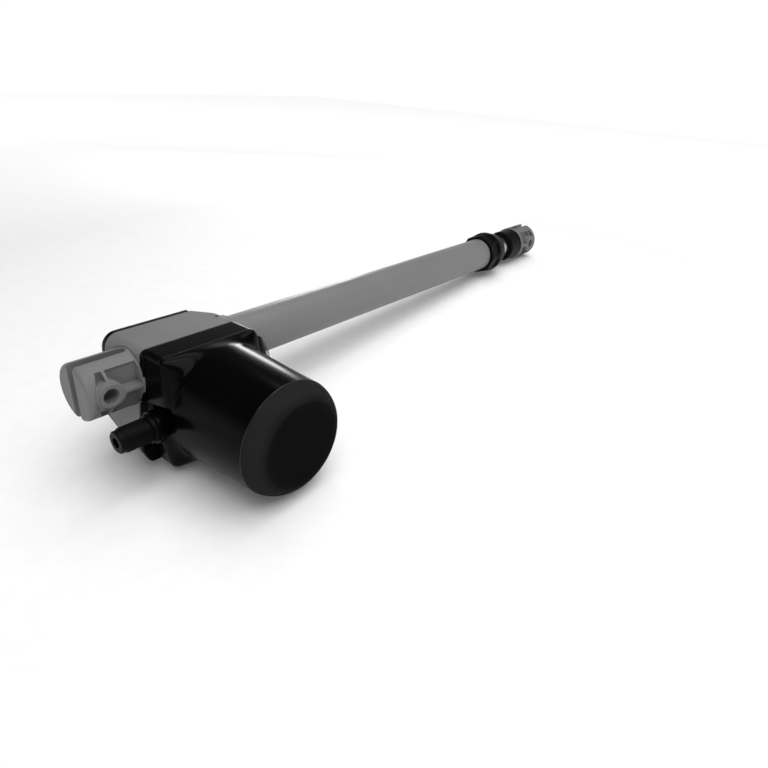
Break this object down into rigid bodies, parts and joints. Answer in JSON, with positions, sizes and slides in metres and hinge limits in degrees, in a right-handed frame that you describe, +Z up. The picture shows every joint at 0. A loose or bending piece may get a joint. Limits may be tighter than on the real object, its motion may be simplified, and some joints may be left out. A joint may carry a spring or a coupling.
{
  "type": "electric linear actuator",
  "caption": "Swing gate actuator: cast gearbox with side motor, long tube with telescoping chromed rod, slotted clevis at each end.",
  "frame": {"origin": "centre of the rear clevis bore, midway between the ears", "axes": "+X along the tube to the front clevis, +Y along the rear clevis bore away from the motor, +Z up as the unit lies on a bench, with the release dial underneath"},
  "size_m": [0.7616, 0.1877, 0.1092],
  "materials": {
    "grey_casting": "satin",
    "grey_tube": "satin",
    "gloss_black": "gloss",
    "matt_black": "matt",
    "black_cover_paint": "satin",
    "chrome": "polished",
    "steel": "machined",
    "zinc_screw": "zinc plated",
    "bronze": "machined",
    "rubber": "matt",
    "white_plastic": "matt",
    "aluminium": "cast",
    "magnet": "matt",
    "copper": "enamelled",
    "core_steel": "laminated",
    "carbon": "matt"
  },
  "bodies": {
    "housing": {"rear_clevis": "grey_casting", "rear_clevis_nut": "zinc_screw", "gearbox_housing": "grey_casting", "tube_set_screws": "zinc_screw", "side_cover_gasket": "rubber", "gearbox_side_cover": "black_cover_paint", "side_cover_screws": "zinc_screw", "worm_end_bush": "bronze", "outer_tube": "grey_tube", "front_nut": "matt_black", "guide_bush": "white_plastic", "rod_seal": "rubber", "wiper_ring": "steel", "rear_bearing_outer_ring": "steel", "front_bearing_outer_ring": "steel", "front_bearing_balls": "chrome", "bearing_retaining_ring": "steel", "motor_flange": "aluminium", "motor_flange_screws": "zinc_screw", "motor_can": "steel", "motor_magnets": "magnet", "brush_plate": "matt_black", "brushes": "carbon", "motor_rear_bell": "aluminium", "motor_through_bolts": "zinc_screw", "motor_bearing_outer_rings": "steel", "motor_cover": "gloss_black", "cover_gasket": "rubber", "cover_screws": "zinc_screw", "end_cap": "matt_black", "end_cap_seal": "rubber", "gland_body": "matt_black", "gland_lock_nut": "matt_black", "gland_cap_nut": "matt_black", "gland_sleeve": "rubber"},
    "rod": {"push_rod": "chrome", "rod_end_plug": "steel", "rod_end_collar": "matt_black", "rod_end_pins": "steel", "drive_nut": "bronze", "rod_guide_ring": "white_plastic"},
    "clevis": {"front_clevis": "grey_casting", "front_clevis_nut": "zinc_screw"},
    "screw": {"lead_screw": "steel", "screw_tip_guide": "white_plastic", "rear_bearing_inner_ring": "steel", "front_bearing_inner_ring": "steel", "screw_lock_collar": "steel", "bearing_spacer": "steel"},
    "wheel": {"worm_wheel": "bronze"},
    "rotor": {"rotor_shaft": "steel", "rotor_core": "core_steel", "rotor_windings": "copper", "commutator": "copper", "motor_bearing_inner_rings": "steel"},
    "release": {"release_dial": "chrome", "release_shaft": "steel", "release_shaft_seal": "rubber"},
    "fork": {"release_fork": "steel"},
    "clutch": {"clutch_ring": "steel"}
  },
  "joints": [
    {"name": "rod_slide", "type": "slide", "parent": "housing", "child": "rod", "axis": [1, 0, 0], "range_m": [-0.015, 0.35]},
    {"name": "clevis_turn", "type": "hinge", "parent": "rod", "child": "clevis", "pos_m": [0.695, 0, 0], "axis": [1, 0, 0], "continuous": true},
    {"name": "screw_spin", "type": "hinge", "parent": "housing", "child": "screw", "pos_m": [0.09, 0, 0], "axis": [1, 0, 0], "continuous": true},
    {"name": "rotor_spin", "type": "hinge", "parent": "housing", "child": "rotor", "pos_m": [0.08, -0.066, -0.024], "axis": [0, 1, 0], "continuous": true},
    {"name": "worm_wheel_spin", "type": "hinge", "parent": "housing", "child": "wheel", "pos_m": [0.08, 0, 0], "axis": [1, 0, 0], "continuous": true},
    {"name": "release_turn", "type": "hinge", "parent": "housing", "child": "release", "pos_m": [0.059, 0, -0.06], "axis": [0, 0, 1], "range_deg": [0, 180]},
    {"name": "fork_slide", "type": "slide", "parent": "housing", "child": "fork", "axis": [1, 0, 0], "range_m": [0, 0.004]},
    {"name": "clutch_slide", "type": "slide", "parent": "screw", "child": "clutch", "axis": [1, 0, 0], "range_m": [0, 0.004]}
  ],
  "couplings": [
    {"joint": "screw_spin", "follows": "rod_slide", "rad_per_m": 628.32},
    {"joint": "worm_wheel_spin", "follows": "rotor_spin", "ratio": 0.032258},
    {"joint": "fork_slide", "follows": "release_turn", "m_per_rad": 0.0012732},
    {"joint": "clutch_slide", "follows": "release_turn", "m_per_rad": 0.0012732}
  ]
}
